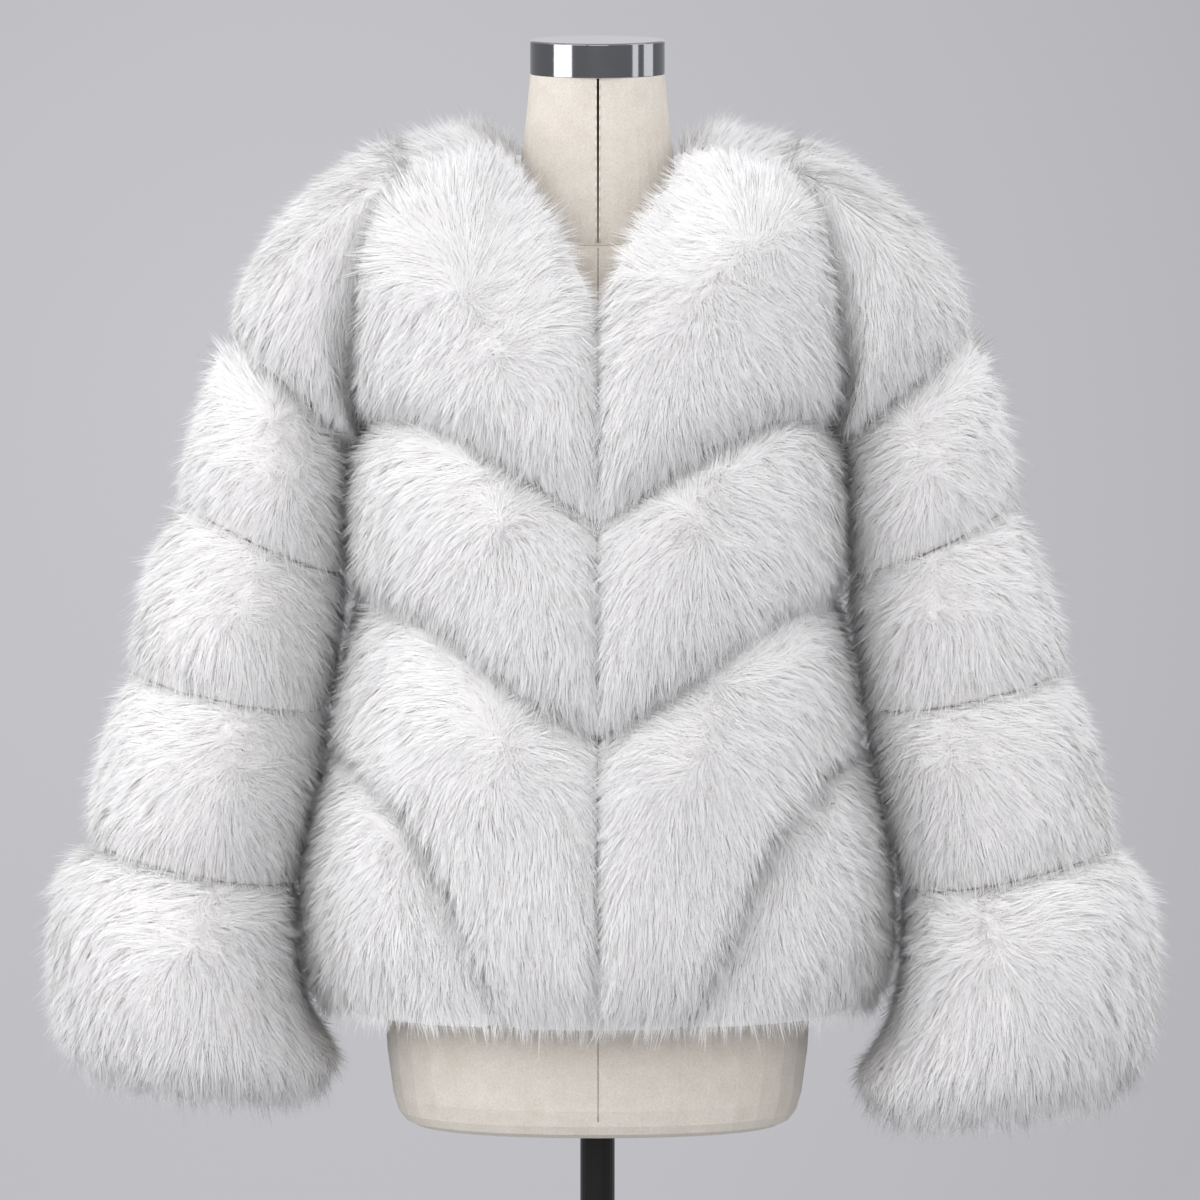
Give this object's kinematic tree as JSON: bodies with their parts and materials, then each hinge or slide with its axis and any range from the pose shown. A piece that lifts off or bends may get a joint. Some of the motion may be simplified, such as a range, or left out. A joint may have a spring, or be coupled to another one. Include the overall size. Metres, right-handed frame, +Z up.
{
  "type": "faux fur jacket on a limbless dress form with a stand",
  "caption": "Collarless V-neck long-pile faux fur jacket of swelling panels and tiered sleeves with wide cuffs, on a linen dress form with a pole and a round base.",
  "frame": {"origin": "centre of the base plate's underside, on the floor below the pole", "axes": "+Z up along the pole, -Y towards the jacket's front, +X to the viewer's right"},
  "size_m": [0.8322, 0.42, 1.48],
  "materials": {
    "fur": "long white acrylic pile",
    "linen": "matte woven linen",
    "steel": "polished",
    "paint": "gloss black enamel"
  },
  "bodies": {
    "root": {"front_left_chest": "fur", "front_left_chevron": "fur", "front_left_lower": "fur", "front_left_side": "fur", "shoulder_left": "fur", "sleeve_left_cap": "fur", "sleeve_left_ring_1": "fur", "sleeve_left_ring_2": "fur", "sleeve_left_ring_3": "fur", "sleeve_left_cuff": "fur", "front_right_chest": "fur", "front_right_chevron": "fur", "front_right_lower": "fur", "front_right_side": "fur", "shoulder_right": "fur", "sleeve_right_cap": "fur", "sleeve_right_ring_1": "fur", "sleeve_right_ring_2": "fur", "sleeve_right_ring_3": "fur", "sleeve_right_cuff": "fur", "back_yoke": "fur", "back_tier_1": "fur", "back_tier_2": "fur", "back_tier_3": "fur", "form_torso": "linen", "form_neck": "linen", "neck_cap": "steel", "pole": "paint", "base_plate": "paint"}
  },
  "joints": []
}
